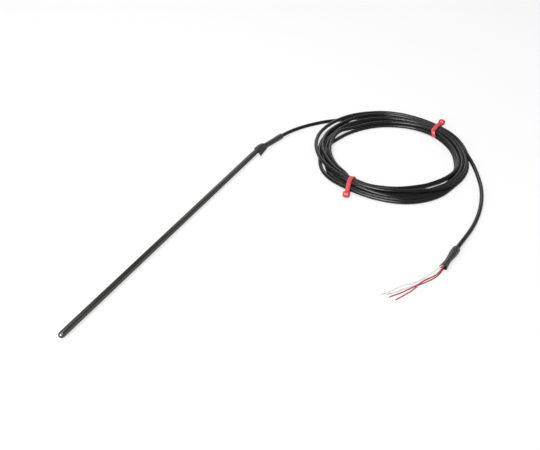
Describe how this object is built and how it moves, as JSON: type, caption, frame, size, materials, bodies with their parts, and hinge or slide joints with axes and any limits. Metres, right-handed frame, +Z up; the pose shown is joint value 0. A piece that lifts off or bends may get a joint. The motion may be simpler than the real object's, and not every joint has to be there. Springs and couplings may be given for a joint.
{
  "type": "resistance thermometer probe",
  "caption": "Straight closed steel sheath with a temperature sensing element in its tip, a coiled black lead held by red cable ties, and stripped red and white wires at its end.",
  "frame": {"origin": "on the floor below the middle of the sheath, between its tip and its mouth", "axes": "+X along the sheath from its tip to its mouth, +Z up, +Y to the left of the sheath; the lead lies on the floor on the -Y side"},
  "size_m": [0.5275, 0.2859, 0.0131],
  "materials": {
    "sheath_steel": "drawn and polished stainless steel, slightly dark",
    "alumina": "matt white",
    "glaze": "fired glass bead",
    "platinum_lead": "bright wire",
    "crimp_metal": "plain",
    "splice_film": "amber film",
    "wire_red": "smooth insulation",
    "wire_white": "smooth insulation",
    "powder_fill": "packed powder",
    "potting_resin": "cured resin",
    "heat_shrink": "satin black",
    "cable_jacket": "fine woven grain, slight sheen",
    "tie_nylon": "translucent red nylon",
    "bare_strand": "tinned strands"
  },
  "bodies": {
    "root": {"sheath_tube": "sheath_steel", "tip_cap": "sheath_steel", "element_chip": "alumina", "element_glaze": "glaze", "element_lead_red": "platinum_lead", "element_lead_white": "platinum_lead", "splice_crimp_red": "crimp_metal", "splice_crimp_white": "crimp_metal", "splice_sleeve_red": "splice_film", "splice_sleeve_white": "splice_film", "core_wire_red_1": "wire_red", "core_wire_red_2": "wire_red", "core_wire_white_1": "wire_white", "core_wire_white_2": "wire_white", "tip_filler": "powder_fill", "potting_plug": "potting_resin", "sheath_end_sleeve": "heat_shrink", "strain_relief_sleeve": "heat_shrink", "end_sleeve": "heat_shrink", "cable_lead_in": "cable_jacket", "cable_coil": "cable_jacket", "cable_tail": "cable_jacket", "cable_tie_front": "tie_nylon", "cable_tie_rear": "tie_nylon", "lead_wire_red_1": "wire_red", "lead_wire_red_2": "wire_red", "lead_wire_white_1": "wire_white", "lead_wire_white_2": "wire_white", "bare_end_red_1": "bare_strand", "bare_end_red_2": "bare_strand", "bare_end_white_1": "bare_strand", "bare_end_white_2": "bare_strand"}
  },
  "joints": []
}
